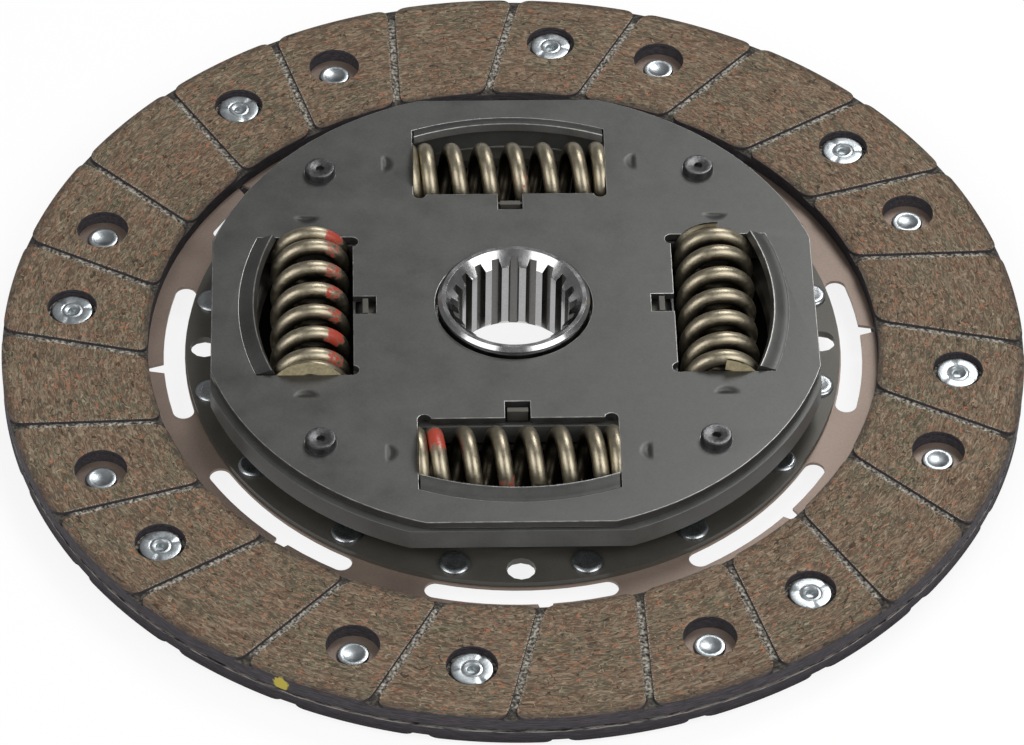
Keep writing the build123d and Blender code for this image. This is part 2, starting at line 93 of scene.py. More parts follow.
# Where the lining's pattern is as long as it is wide
PATTERN_RADIUS = 98.0 * MM
PAD_COUNT = 24
PAD_ANGLE = 360 / PAD_COUNT
GROOVE_ANGLE = 2.0
GROOVE_OFFSET = 22.3 * MM
GROOVE_WIDTH = 1.6 * MM
GROOVE_DEPTH = 0.8 * MM
RIVET_CIRCLE = 99.3 * MM
RIVET_ANGLE = 38.5
ACCESS_ANGLE = RIVET_ANGLE - PAD_ANGLE
FLIP_ANGLE = RIVET_ANGLE + ACCESS_ANGLE
RIVET_COUNT = 8
POCKET_RADIUS = 5.5 * MM
POCKET_FLOOR = 1.2 * MM
ACCESS_RADIUS = 5.75 * MM
SHANK_RADIUS = 2.4 * MM
RIVET_HEAD_HEIGHT = 1.3 * MM
RIVET_END_HEIGHT = 0.75 * MM
PLATE_RIVET_CIRCLE = 68.9 * MM
PLATE_RIVET_HALF_ANGLE = 12.0
DRIVEN_THICKNESS = 1.5 * MM
PIN_CIRCLE = 60.7 * MM
PIN_END_RADIUS = 3.45 * MM
PIN_END_HEIGHT = 1.4 * MM
PIN_PEEN_HEIGHT = 1.85 * MM
DRIVEN_TOP = COVER_BASE - 6.8 * MM
COVER_TOP = COVER_BASE + 1.8 * MM
SPRING_RADIUS = 8.9 * MM
SPRING_CIRCLE = 45.3 * MM
SPRING_TURNS = 8.0
SPRING_GRIND = 1.45 * MM
# How far each spring is rolled round its own axis, in degrees
SPRING_ROLLS = (5.0, -61.0, -124.0, 84.0)
SPRING_CLOSED_TURNS = 1.4
SPRING_LENGTH = SPRING_HIGH.x - SPRING_LOW.x
SPRING_MIDDLE = (SPRING_LOW.z + SPRING_HIGH.z) / 2
COVER_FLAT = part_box("cover_plate")[1].x
COVER_RADIUS = 70.1 * MM
COVER_BORE = 17.5 * MM
WINDOW_HALF_LENGTH = SPRING_LENGTH / 2 + 0.1 * MM
WINDOW_INNER_EDGE = 35.7 * MM
LIP_ROOT_RADIUS = 61.0 * MM
# The sides of the lip's profile that are worn bright
LIP_CREST = (7, 8)
RELIEF_RADIUS = 1.45 * MM
NOTCH_HALF_WIDTH = 2.75 * MM
NOTCH_DEPTH = 5.1 * MM
HUB_TOP = top_of("hub")
SPLINE_TIP_RADIUS = 12.4 * MM
SPLINE_ROOT_RADIUS = 13.9 * MM
BORE_MOUTH_RADIUS = 14.1 * MM
BORE_MOUTH_DEPTH = 2.2 * MM
WIDER_MOUTH_RADIUS = 15.2 * MM
WIDER_MOUTH_DEPTH = 3.0 * MM

# Half-moon marks beside the windows: place in the first quarter, and the side they open to
DENTS = ((46 * MM, 29.2 * MM, "Y"), (29.2 * MM, 46 * MM, "X"))
DENT_RADIUS = 3.3 * MM
DENT_DEPTH = 0.3 * MM
# Where round the rim the yellow dab is, in degrees
DAB_ANGLE = 243.0
# The camera: its angle round the axis, its height and its roll in degrees, its place and its lens in mm
CAMERA_ANGLE = -2.1
CAMERA_ELEVATION = 44.858
CAMERA_ROLL = 0.941
CAMERA_PLACE = (-0.0352, -0.9556, 0.9496)
CAMERA_LENS = 211.2
# A shadow is painted on the floor under the damper: dark between two radii, round a point behind the axis
SHADE_INNER = 20 * MM
SHADE_OUTER = 61 * MM
SHADE_OFFSET = 5 * MM
# How much of the floor is plain white elsewhere
WHITE_SHARE = 0.86
# Marking paint on each spring: turn, angle round the coil, half its spread in degrees, strength
PAINT_STRENGTHS = (0.65, 0.8, 0.6, 0.6, 0.6, 0.55, 0.75)
PAINT_MARKS = (
    ((4.3, 140, 20, 0.45),),
    tuple((turn + 0.52, 132, 18, PAINT_STRENGTHS[turn - 1]) for turn in range(1, 8)),
    ((6.6, 98, 24, 0.8), (4.4, 20, 14, 0.5)),
    (),
)


# ---- Settings


def length(name, description, value):
    """A setting for a length, given in millimetres."""
    return FloatProperty(name=name, description=description, default=value * MM, unit="LENGTH")


def facets(name, description, value):
    """A setting for a number of facets."""
    return IntProperty(name=name, description=description, default=value, min=8, subtype="UNSIGNED")


def colour(name, description, value):
    """A setting for a colour, given as an sRGB hex value."""
    return FloatVectorProperty(
        name=name, description=description, subtype="COLOR", size=4, min=0, max=1, default=linear(value)
    )


def linear(hex_value):
    """Linear colour with alpha from an sRGB hex value."""
    channels = [int(hex_value[i : i + 2], 16) / 255 for i in (1, 3, 5)]
    bright = [c / 12.92 if c <= 0.04045 else ((c + 0.055) / 1.055) ** 2.4 for c in channels]
    return (*bright, 1.0)


class LookSizes(bpy.types.PropertyGroup):
    pad_corner: length("Pad corner", "Rounding of the pads' corners", 3.0)
    facing_edge: length("Facing edge", "Broken edge of the facings", 0.22)
    plate_edge: length("Plate edge", "Rolled edge of the stamped plates", 0.17)
    hub_edge: length("Hub edge", "Broken edge of the hub", 0.12)
    wire_radius: length("Wire radius", "Half the springs' wire", 1.85)
    wire_sides: facets("Wire sides", "Facets round the springs' wire", 20)
    turn_steps: facets("Steps a turn", "Facets along each turn of a spring", 40)
    lathe_steps: facets("Fastener facets", "Facets round rivets and pins", 48)


class LookColours(bpy.types.PropertyGroup):
    lining: colour("Lining", "Ground face of the friction lining", "#6E6150")
    lining_dark: colour("Lining binder", "Dark binder between the fibres", "#4B4136")
    lining_rim: colour("Lining rim", "Moulded rim of the lining", "#3F3B3F")
    zinc: colour("Zinc", "Plated rivets", "#B3B9BC")
    cushion: colour("Cushion steel", "Tempered spring steel", "#8A7A6F")
    rivet: colour("Rivet steel", "Dull zinc on the plate rivets", "#A9ADB0")
    cover: colour("Cover steel", "Phosphated steel of the cover plate", "#5A5A59")
    driven: colour("Driven steel", "Phosphated steel of the driven plate", "#53514B")
    spring: colour("Spring steel", "Oil-tempered spring wire", "#A29985")
    hub: colour("Hub steel", "Machined hub", "#ABABAB")
    paint: colour("Marking paint", "Dabs of marking paint on the springs", "#A8402F")
    floor: colour("Floor", "Studio floor", "#FAFAFA")


# ---- Node trees

# A smooth step of the first input, between the second and the third
SMOOTH = {"interpolation_type": "SMOOTHSTEP"}
# A colour mix has its factor in socket 0, its colours in 6 and 7, and its result in output 2
COLOUR_MIX = {"output": 2, "data_type": "RGBA"}


def fill(node, inputs):
    """Sets or links a node's inputs, given by name, by number or as a list of the first ones."""
    for socket, value in inputs.items() if isinstance(inputs, dict) else enumerate(inputs):
        if isinstance(value, bpy.types.NodeSocket):
            node.id_data.links.new(value, node.inputs[socket])
        else:
            node.inputs[socket].default_value = value


def add_node(tree, kind, inputs=(), output=0, stops=(), **settings):
    """Adds a shader node with its settings and inputs, gives a ramp its stops of position and
    colour, and returns one of its outputs."""
    made = tree.nodes.new("ShaderNode" + kind)
    for name, value in settings.items():
        setattr(made, name, value)
    fill(made, inputs)
    if stops:
        band = made.color_ramp.elements
        band[0].position, band[0].color = stops[0]
        band[1].position, band[1].color = stops[-1]
        for position, value in stops[1:-1]:
            band.new(position).color = value
    return made.outputs[output] if made.outputs else None


def opened(material):
    """A material's shader, and add_node for its tree."""
    tree = material.node_tree
    return tree.nodes["Principled BSDF"], partial(add_node, tree)


def new_material(name, metallic, roughness):
    """A new material, with its shader and add_node for its tree."""
    material = bpy.data.materials.new(name)
    material.use_nodes = True
    shader, add = opened(material)
    fill(shader, {"Metallic": metallic, "Roughness": roughness})
    return material, shader, add


def grain(add, place, size, **inputs):
    """Grain of a real size: a noise that repeats at that length along each axis."""
    sized = add("VectorMath", [place, size], operation="DIVIDE")
    return add("TexNoise", {"Vector": sized, "Scale": 1.0, **inputs})


def laid(add, tone, mask, strength, over):
    """A colour laid over a tone where a mask says, at most so strongly."""
    soft = add("Math", [mask, strength], operation="MULTIPLY")
    return add("Mix", {0: soft, 6: tone, 7: over}, **COLOUR_MIX)


def shades(*pairs):
    """A ramp's stops from positions and sRGB hex values."""
    return [(position, linear(value)) for position, value in pairs]


def scaled(value, factor):
    """A colour made lighter or darker."""
    return (*[min(1.0, c * factor) for c in value[:3]], 1.0)


# ---- Friction lining


def polar_place(add):
    """Where a point of a facing lies: arc length, radius and height in millimetres as a vector, then
    its height and its angle. The angle runs the same way on both facings, seen from their faces."""
    place = add("TexCoord", output="Object")
    split = add("SeparateXYZ", [place]).node.outputs
    flat = add("CombineXYZ", [split["X"], split["Y"]])
    radius = add("VectorMath", [flat], "Value", operation="LENGTH")
    seen_angle = add("Math", [split["Y"], split["X"]], operation="ARCTAN2")
    turn = math.radians(FLIP_ANGLE)
    under_angle = add("Math", [turn, seen_angle], operation="SUBTRACT")
    above = add("Math", [split["Z"], CUSHION_MIDDLE], operation="GREATER_THAN")
    angle = add("Mix", {0: above, 2: under_angle, 3: seen_angle})
    arc_mm = add("Math", [angle, PATTERN_RADIUS / MM], operation="MULTIPLY")
    radius_mm = add("Math", [radius, 1 / MM], operation="MULTIPLY")
    height_mm = add("Math", [split["Z"], 1 / MM], operation="MULTIPLY")
    return add("CombineXYZ", [arc_mm, radius_mm, height_mm]), height_mm, angle


def threads(add, place, size, width, share, offset):
    """Short curved threads: where a noise crosses its middle, broken up by a second noise."""
    sized = add("VectorMath", [place, size], operation="DIVIDE")
    moved = add("VectorMath", [sized, offset])
    course = add("TexNoise", {"Vector": moved, "Scale": 1.0, "Detail": 1.0, "Distortion": 0.4})
    apart = add("Math", [course, 0.5], operation="SUBTRACT")
    off = add("Math", [apart], operation="ABSOLUTE")
    line = add("MapRange", [off, width, width * 0.45], **SMOOTH)
    gaps = add("TexNoise", {"Vector": moved, "Scale": 1.9, "Detail": 1.0}, "Color")
    part = add("SeparateColor", [gaps], "Green")
    kept = add("MapRange", [part, share, share + 0.05], **SMOOTH)
    return add("Math", [line, kept], operation="MULTIPLY")


def groove_distance(add, radius, angle):
    """How far a point lies from the middle of the nearest groove, in millimetres."""
    share = add("Math", [GROOVE_OFFSET / MM, radius], operation="DIVIDE")
    lead = add("Math", [share], operation="ARCSINE")
    turned = add("Math", [angle, lead], operation="SUBTRACT")
    from_start = add("Math", [turned, math.radians(GROOVE_ANGLE)], operation="SUBTRACT")
    half = math.pi / PAD_COUNT
    apart = add("Math", [from_start, half, -half], operation="WRAP")
    slope = add("Math", [lead], operation="COSINE")
    across = add("Math", [apart, radius], operation="MULTIPLY")
    across = add("Math", [across, slope], operation="MULTIPLY")
    return add("Math", [across], operation="ABSOLUTE")


def ground_yarn(add, place, colours):
    """The ground face of the pads: (tone, blotches, yarn)."""
    # Cut yarn about 0.6 mm wide and 3 mm long, mostly lying round the disc
    yarn = grain(add, place, (2.4, 0.8, 0.8), Detail=5.0, Roughness=0.62, Distortion=1.6)
    dark = scaled(colours.lining_dark, 0.45)
    stops = [(0.32, dark), (0.44, colours.lining_dark[:]), (0.53, colours.lining[:])]
    tone = add("ValToRGB", [yarn], stops=stops + shades((0.68, "#A2937D")))
    # Blotches about 1 cm wide, greener where there is more resin and redder where there is more copper
    blotch = grain(add, place, (11.0, 7.0, 6.0), Detail=4.0, Roughness=0.6)
    stops = shades((0.3, "#5A5C47"), (0.44, "#6B6150"), (0.56, "#785F4C"), (0.72, "#7D7263"))
    tint = add("ValToRGB", [blotch], stops=stops)
    tone = add("Mix", {0: 0.35, 6: tone, 7: tint}, **COLOUR_MIX)
    # Threads about a third of a millimetre wide: resin-dark and pale yarn, then cut copper wire
    for size, width, share, offset, first, second in (
        ((4.2, 2.2, 3.0), 0.024, 0.50, (3.0, 1.0, 0.0), "#33291F", "#3F362B"),
        ((3.4, 1.9, 3.0), 0.020, 0.53, (9.0, 5.0, 2.0), "#A08F77", "#8F8470"),
        ((3.8, 1.7, 3.0), 0.020, 0.54, (21.0, 13.0, 5.0), "#8F5A41", "#A06E52"),
        ((2.8, 2.4, 3.0), 0.018, 0.57, (31.0, 7.0, 8.0), "#B47C62", "#8C563F"),
    ):
        mask = threads(add, place, size, width, share, offset)
        shade = add("Mix", {0: blotch, 6: linear(first), 7: linear(second)}, **COLOUR_MIX)
        tone = laid(add, tone, mask, 0.9, shade)
    return tone, blotch, yarn


def both_edges(add, tone, radius, outer, inner, strength, over):
    """Lays a colour over the outer and inner edge of a facing; outer and inner are where it fades in."""
    at_outer = add("MapRange", [radius, *outer], **SMOOTH)
    at_inner = add("MapRange", [radius, *inner], **SMOOTH)
    ends = add("Math", [at_outer, at_inner], operation="MAXIMUM")
    return laid(add, tone, ends, strength, linear(over))


def handling_soot(add, tone, radius, blotch):
    """Soot and oil from handling, on the outer and inner 2 mm of the face."""
    wavy = add("Math", [blotch, 3.0, radius], operation="MULTIPLY_ADD")
    outer, inner = FACING_OUTER / MM, FACING_INNER / MM
    fades = (outer - 0.8, outer + 1.4), (inner + 3.4, inner + 1.6)
    return both_edges(add, tone, wavy, *fades, 0.55, "#35302E")


def groove_floor(add, radius, dust):
    """Groove floors: grey, with pale dust and fibre ends, and dark where the mould formed their ends."""
    tone = add("ValToRGB", [dust], stops=shades((0.36, "#34302C"), (0.5, "#7D786F"), (0.66, "#C4BFB2")))
    outer, inner = FACING_OUTER / MM, FACING_INNER / MM
    fades = (outer - 4.5, outer - 2.5), (inner + 3.0, inner + 1.5)
    return both_edges(add, tone, radius, *fades, 0.85, "#2B2724")


def torn_fibres(add, tone, place, away):
    """Pale and dark torn fibres along the grooves, up to 1 mm into the pads."""
    torn = grain(add, place, (0.55, 0.3, 1.0), Detail=2.0, Roughness=0.7)
    for sign, low, high, shade in ((1.0, 0.30, 0.40, "#B0AA9C"), (-1.0, -0.68, -0.58, "#2C2723")):
        chance = add("Math", [torn, sign, 0.0], operation="MULTIPLY_ADD")
        chance = add("Math", [away, -0.22, chance], operation="MULTIPLY_ADD")
        fray = add("MapRange", [chance, low, high], **SMOOTH)
        tone = laid(add, tone, fray, 0.8, linear(shade))
    return tone


def moulded_rim(add, place, height, from_middle, colours):
    """The dark skin of the mould, ribbed by the winding, darkened towards its foot as painted shade, with
    a pale line along the lower facing's upper edge as a painted highlight.
    """
    ribs = grain(add, place, (3.0, 0.6, 0.3), Detail=4.0, Roughness=0.65)
    dark, pale = scaled(colours.lining_rim, 0.45), scaled(colours.lining_rim, 1.7)
    stops = [(0.3, dark), (0.5, colours.lining_rim[:]), (0.7, pale)]
    upper = add("ValToRGB", [ribs], stops=stops)
    # Painted shade: the rim darkens towards its lower edge
    shadow = add("Mix", {0: 1.0, 6: upper, 7: linear("#A5A5A5")}, blend_type="MULTIPLY", **COLOUR_MIX)
    up = add("MapRange", [height, 0.0, FACING_BACK / MM + 1.5], **SMOOTH)
    tone = add("Mix", {0: up, 6: shadow, 7: upper}, **COLOUR_MIX)
    # Painted highlight: a pale line along the lower facing's rim, just under the middle between the
    # facings
    arris = add("MapRange", [from_middle, -0.85, -0.6], **SMOOTH)
    arris = add("Math", [arris, ribs], operation="MULTIPLY")
    below = add("Math", [from_middle, 0.0], operation="LESS_THAN")
    arris = add("Math", [arris, below], operation="MULTIPLY")
    painted_rim_highlight = add("MapRange", [arris, 0.38, 0.6], **SMOOTH)
    return add("Mix", {0: painted_rim_highlight, 6: tone, 7: linear("#8F8A85")}, **COLOUR_MIX)


def rim_dab(add, tone, dust):
    """One dab of yellow marking paint on the lower facing's rim."""
    dab = (*(around(FACING_OUTER, DAB_ANGLE) / MM), (FACING_BACK + FACING_THICKNESS * 0.45) / MM)
    place = add("TexCoord", output="Object")
    place_mm = add("VectorMath", {0: place, 3: 1 / MM}, operation="SCALE")
    away = add("VectorMath", [place_mm, dab], "Value", operation="DISTANCE")
    ragged = add("Math", [dust, 1.5, away], operation="MULTIPLY_ADD")
    mask = add("MapRange", [ragged, 2.7, 2.3], **SMOOTH)
    return add("Mix", {0: mask, 6: tone, 7: linear("#B3A447")}, **COLOUR_MIX)


def lining_material(colours):
    """Friction lining: yarn and copper wire wound in resin, hot pressed and ground. The ground faces
    show the cut yarn as short curls, the rims and groove walls stay dark from the mould."""
    material, shader, add = new_material("ground_friction_lining", 0.0, 0.8)
    place, height, angle = polar_place(add)
    radius = add("SeparateXYZ", [place], "Y")
    tone, blotch, yarn = ground_yarn(add, place, colours)
    tone = handling_soot(add, tone, radius, blotch)
    tone = torn_fibres(add, tone, place, groove_distance(add, radius, angle))
    dust = grain(add, place, (0.7, 0.7, 0.7), Detail=3.0)
    from_middle = add("Math", [height, CUSHION_MIDDLE / MM], operation="SUBTRACT")
    depth = add("Math", [from_middle], operation="ABSOLUTE")
    face = (FACING_BACK + FACING_THICKNESS - CUSHION_MIDDLE) / MM
    on_face = add("MapRange", [depth, face - 0.5, face - 0.2], **SMOOTH)
    tone = add("Mix", {0: on_face, 6: groove_floor(add, radius, dust), 7: tone}, **COLOUR_MIX)
    normal = add("NewGeometry", output="Normal")
    upward = add("SeparateXYZ", [normal], "Z")
    level = add("Math", [upward], operation="ABSOLUTE")
    flat_part = add("MapRange", [level, 0.45, 0.9], **SMOOTH)
    above_back = add("MapRange", [depth, 0.6, 1.1], **SMOOTH)
    faced = add("Math", [flat_part, above_back], operation="MULTIPLY")
    rim = moulded_rim(add, place, height, from_middle, colours)
    tone = rim_dab(add, add("Mix", {0: faced, 6: rim, 7: tone}, **COLOUR_MIX), dust)
    bump = add("Bump", {"Strength": 0.55, "Distance": 0.15 * MM, "Height": yarn})
    fill(shader, {"Base Color": tone, "Normal": bump, "Specular IOR Level": 0.25})
    return material


# ---- Steels


def steel_material(name, tone, roughness, spread, grain_mm, metallic, bump_mm):
    """Steel with a thin skin: blotches as wide as its grain over metal that is rough at 0.5 mm."""
    material, shader, add = new_material(name, metallic, roughness)
    place = add("TexCoord", output="Object")
    blotch = grain(add, place, (grain_mm * MM,) * 3, Detail=6.0, Roughness=0.6)
    fine = grain(add, place, (0.5 * MM,) * 3, Detail=3.0)
    wide_stops = [(0.3, scaled(tone, 1 - spread)), (0.7, scaled(tone, 1 + spread))]
    fine_stops = [(0.3, scaled(tone, 0.75)), (0.7, scaled(tone, 1.25))]
    base = add("ValToRGB", [blotch], stops=wide_stops)
    speckle = add("ValToRGB", [fine], stops=fine_stops)
    skin = add("Mix", {0: 0.25, 6: base, 7: speckle}, **COLOUR_MIX)
    rough = add("MapRange", [blotch, 0.3, 0.7, roughness - 0.07, roughness + 0.07])
    bump = add("Bump", {"Strength": 0.6, "Distance": bump_mm * MM, "Height": fine})
    fill(shader, {"Base Color": skin, "Roughness": rough, "Normal": bump})
    return material


def add_dents(material, spots, radius, depth):
    """Presses shallow half-moon marks into a material at mirrored places, in metres, and paints shade into
    them.
    """
    shader, add = opened(material)
    place = add("TexCoord", output="Object")
    mirrored = add("VectorMath", [place], operation="ABSOLUTE")
    flat = add("VectorMath", [mirrored, (1, 1, 0)], operation="MULTIPLY")
    marks = []
    for x, y, towards in spots:
        away = add("VectorMath", [flat, (x, y, 0)], "Value", operation="DISTANCE")
        inside = add("MapRange", [away, radius, radius * 0.35], **SMOOTH)
        axis = add("SeparateXYZ", [flat], towards)
        middle = y if towards == "Y" else x
        half = add("MapRange", [axis, middle, middle - 1.5 * MM], **SMOOTH)
        marks.append(add("Math", [inside, half], operation="MULTIPLY"))
    pressed = add("Math", [marks[0], marks[1]], operation="MAXIMUM")
    under = shader.inputs["Normal"].links[0].from_socket
    settings = {"Strength": 1.0, "Distance": depth, "Height": pressed, "Normal": under}
    dent = add("Bump", settings, invert=True)
    # Painted shade: the pressed marks are darkened towards black
    dent_shade = add("MapRange", [pressed, 0.1, 0.5], **SMOOTH)
    clean = shader.inputs["Base Color"].links[0].from_socket
    dent_shaded = laid(add, clean, dent_shade, 0.4, linear("#0E0E0E"))
    fill(shader, {"Base Color": dent_shaded, "Normal": dent})


def add_coil_shade_and_paint(material, tone):
    """Paints shade on the inside of the coils and brushes marking paint on, where the mesh says so."""
    shader, add = opened(material)
    clean = shader.inputs["Base Color"].links[0].from_socket
    # Painted shade: the wire's side that faces the spring's axis is darkened towards near black
    soot = add("Attribute", output="Fac", attribute_name="soot")
    coil_shaded = laid(add, clean, soot, 0.9, linear("#1A1611"))
    amount = add("Attribute", output="Fac", attribute_name="paint")
    place = add("TexCoord", output="Object")
    streak = grain(add, place, (1.1 * MM,) * 3, Detail=4.0)
    ragged = add("Math", [amount, streak], operation="ADD")
    mask = add("MapRange", [ragged, 0.95, 1.2], **SMOOTH)
    skin = add("Mix", {0: mask, 6: coil_shaded, 7: tone[:]}, **COLOUR_MIX)
    metal = add("MapRange", {0: mask, 3: 1.0, 4: 0.0})
    fill(shader, {"Base Color": skin, "Metallic": metal})


def make_materials(colours):
    """Every material by a short name."""
    made = {"lining": lining_material(colours)}
    for key, name, tone, roughness, spread, grain_mm, metallic, bump_mm in (
        # Zinc-plated rivets, cold headed: bright and bluish, with small soft highlights
        ("zinc", "zinc_plated_steel", colours.zinc, 0.36, 0.08, 2.0, 1.0, 0.04),
        # Zinc that has dulled under the damper: dark where it looks at the plates, with a bright rim
        ("rivet", "dull_zinc_steel", colours.rivet, 0.28, 0.15, 2.0, 0.95, 0.04),
        # Phosphated pins, peened over: dark grey and uneven, with a hammered top
        ("pin", "phosphated_pin_steel", linear("#5C5C5D"), 0.36, 0.35, 1.0, 0.9, 0.1),
        # Hardened and tempered spring steel: a warm brown skin, nearly matt
        ("cushion", "tempered_spring_steel", colours.cushion, 0.45, 0.16, 14.0, 0.5, 0.02),
        # Phosphated and oiled sheet, stamped: dark grey with a broad satin sheen and wide blotches
        ("cover", "phosphated_sheet_steel", colours.cover, 0.46, 0.2, 9.0, 0.85, 0.02),
        # The same sheet with more oil on it: darker, browner and less metallic
        ("driven", "oiled_sheet_steel", colours.driven, 0.45, 0.14, 10.0, 0.4, 0.02),
        # Sheared edges and corners rubbed bare: thin broken lines of bright steel
        ("edge", "worn_edge", linear("#9A9A97"), 0.42, 0.5, 1.6, 0.9, 0.02),
        # Forged flange, shot blasted: even mid grey without sharp highlights
        ("forged", "forged_flange_steel", linear("#656563"), 0.5, 0.15, 5.0, 0.45, 0.02),
        # Oil-tempered wire: straw-brown skin with fine speckle and a long highlight on each coil
        ("spring", "oil_tempered_wire", colours.spring, 0.4, 0.16, 1.2, 1.0, 0.06),
        # Ground ends of the springs: pale straw, matt
        ("ground_end", "ground_spring_end", linear("#C9BC98"), 0.4, 0.25, 1.0, 0.3, 0.02),
        # Machined hub: bright bare steel with crisp reflections
        ("hub", "machined_hub_steel", colours.hub, 0.2, 0.08, 3.0, 1.0, 0.01),
        # Broached grooves with oil in them: the same steel, darker
        ("groove", "oiled_spline_groove", linear("#6E6D6B"), 0.3, 0.15, 3.0, 1.0, 0.01),
        # Glass-filled friction plastic, moulded: plain dark brown and matt
        ("plastic", "moulded_friction_plastic", linear("#2E2B29"), 0.6, 0.1, 3.0, 0.0, 0.02),
    ):
        made[key] = steel_material(name, tone, roughness, spread, grain_mm, metallic, bump_mm)
    add_dents(made["cover"], DENTS, DENT_RADIUS, DENT_DEPTH)
    add_coil_shade_and_paint(made["spring"], colours.paint)
    return made


MATERIALS = {}


# ---- Meshes


def finish_piece(name, mesh, body, nodes, materials, sharp_angle=35.0):
    """Links a mesh as a piece that rides on a body and stands for CAD nodes."""
    piece = bpy.data.objects.new(name, mesh)
    bpy.context.scene.collection.objects.link(piece)
    for key in materials:
        mesh.materials.append(MATERIALS[key])
    for polygon in mesh.polygons:
        polygon.use_smooth = True
    mesh.set_sharp_from_angle(angle=math.radians(sharp_angle))
    evened = piece.modifiers.new("flat_faces_stay_flat", "WEIGHTED_NORMAL")
    evened.keep_sharp = True
    evened.weight = 100
    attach(piece, body)
    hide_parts(*nodes)
    return piece


def around(radius, degrees_round):
    """A point in the plane at a radius and an angle."""
    angle = math.radians(degrees_round)
    return Vector((radius * math.cos(angle), radius * math.sin(angle)))


def round_outline(centre, radius, count=48):
    """A circle's points round a centre."""
    return [centre + around(radius, 360 * i / count) for i in range(count)]


def finished(shape, name):
    """A mesh out of a bmesh, which this frees."""
    mesh = bpy.data.meshes.new(name)
    shape.to_mesh(mesh)
    shape.free()
    return mesh


def stamped(outlines, base, top, edge):
    """A flat plate with broken edges, filled between its outlines."""
    curve = bpy.data.curves.new("outline", "CURVE")
    curve.dimensions = "2D"
    curve.fill_mode = "BOTH"
    curve.extrude = (top - base) / 2 - edge
    curve.bevel_depth = edge
    curve.bevel_resolution = 1
    curve.offset = -edge
    for points in outlines:
        spline = curve.splines.new("POLY")
        spline.points.add(len(points) - 1)
        for spot, point in zip(spline.points, points):
            spot.co = (point.x, point.y, 0.0, 1.0)
        spline.use_cyclic_u = True
    carrier = bpy.data.objects.new("outline", curve)
    bpy.context.scene.collection.objects.link(carrier)
    bpy.context.view_layer.update()
    mesh = bpy.data.meshes.new_from_object(carrier.evaluated_get(bpy.context.evaluated_depsgraph_get()))
    bpy.data.objects.remove(carrier)
    bpy.data.curves.remove(curve)
    mesh.transform(Matrix.Translation((0, 0, (base + top) / 2)))
    return mesh


def joined(name, meshes):
    """One mesh out of several."""
    whole = bmesh.new()
    for mesh in meshes:
        whole.from_mesh(mesh)
        bpy.data.meshes.remove(mesh)
    bmesh.ops.remove_doubles(whole, verts=whole.verts, dist=0.001 * MM)
    return finished(whole, name)


def groove_point(number, side, radius):
    """Where one side of a groove meets a radius."""
    across = GROOVE_OFFSET + side * GROOVE_WIDTH / 2
    along = math.sqrt(radius**2 - across**2)
    turn = math.degrees(math.atan2(across, along)) + GROOVE_ANGLE + PAD_ANGLE * number
    return around(radius, turn)


def bend(start, corner, end, count=6):
    """Points of a rounded corner."""
    steps = [i / count for i in range(count + 1)]
    return [start * (1 - t) ** 2 + corner * 2 * t * (1 - t) + end * t**2 for t in steps]


def arc(radius, first, last, count):
    """Points along an arc round the axis, between two angles."""
    return [around(radius, first + (last - first) * i / count) for i in range(count + 1)]


def angle_of(point):
    """A point's angle round the axis."""
    return math.degrees(math.atan2(point.y, point.x))


def middle_of(points):
    """The mean of an outline's points."""
    return sum(points, Vector((0, 0))) / len(points)


def angle_between(one, other):
    """How far two angles lie apart, in degrees."""
    return abs((one - other + 180) % 360 - 180)


def pad_outline(number, corner):
    """One pad between two grooves, with rounded corners."""
    inner_a = groove_point(number, 1, FACING_INNER)
    outer_a = groove_point(number, 1, FACING_OUTER)
    outer_b = groove_point(number + 1, -1, FACING_OUTER)
    inner_b = groove_point(number + 1, -1, FACING_INNER)
    outer_step = math.degrees(corner / FACING_OUTER)
    inner_step = math.degrees(corner / FACING_INNER)
    start, end = angle_of(outer_a), angle_of(outer_a) + (angle_of(outer_b) - angle_of(outer_a)) % 360
    outer = arc(FACING_OUTER, start + outer_step, end - outer_step, 10)
    start, end = angle_of(inner_a), angle_of(inner_a) + (angle_of(inner_b) - angle_of(inner_a)) % 360
    inner = arc(FACING_INNER, end - inner_step, start + inner_step, 8)
    along_a = (outer_a - inner_a).normalized() * corner
    along_b = (outer_b - inner_b).normalized() * corner
    points = bend(inner[-1], inner_a, inner_a + along_a) + bend(outer_a - along_a, outer_a, outer[0])
    points += outer[1:-1] + bend(outer[-1], outer_b, outer_b - along_b)
    return points + bend(inner_b + along_b, inner_b, inner[0]) + inner[1:-1]


def facing_mesh(name, sizes):
    """One facing with its back at z = 0 and its grooved face up."""
    heads = [around(RIVET_CIRCLE, RIVET_ANGLE + 45 * i) for i in range(RIVET_COUNT)]
    access = [around(RIVET_CIRCLE, ACCESS_ANGLE + 45 * i) for i in range(RIVET_COUNT)]
    holes = [round_outline(spot, POCKET_RADIUS) for spot in heads]
    holes += [round_outline(spot, ACCESS_RADIUS) for spot in access]
    edge = sizes.facing_edge
    floor = FACING_THICKNESS - GROOVE_DEPTH
    skin = 0.05 * MM
    rims = [arc(FACING_OUTER - skin, 0, 360, 240)[:-1], arc(FACING_INNER + skin, 0, 360, 180)[:-1]]
    meshes = [stamped(rims + holes, 0, floor, skin)]
    for number in range(PAD_COUNT):
        outline = pad_outline(number, sizes.pad_corner)
        inside = [hole for hole in holes if (middle_of(hole) - middle_of(outline)).length < 12 * MM]
        meshes.append(stamped([outline] + inside, floor - 2 * edge, FACING_THICKNESS, edge))
    for spot in heads:
        ledge = [round_outline(spot, POCKET_RADIUS + skin), round_outline(spot, SHANK_RADIUS)]
        meshes.append(stamped(ledge, 0, POCKET_FLOOR, skin))
    return joined(name, meshes)


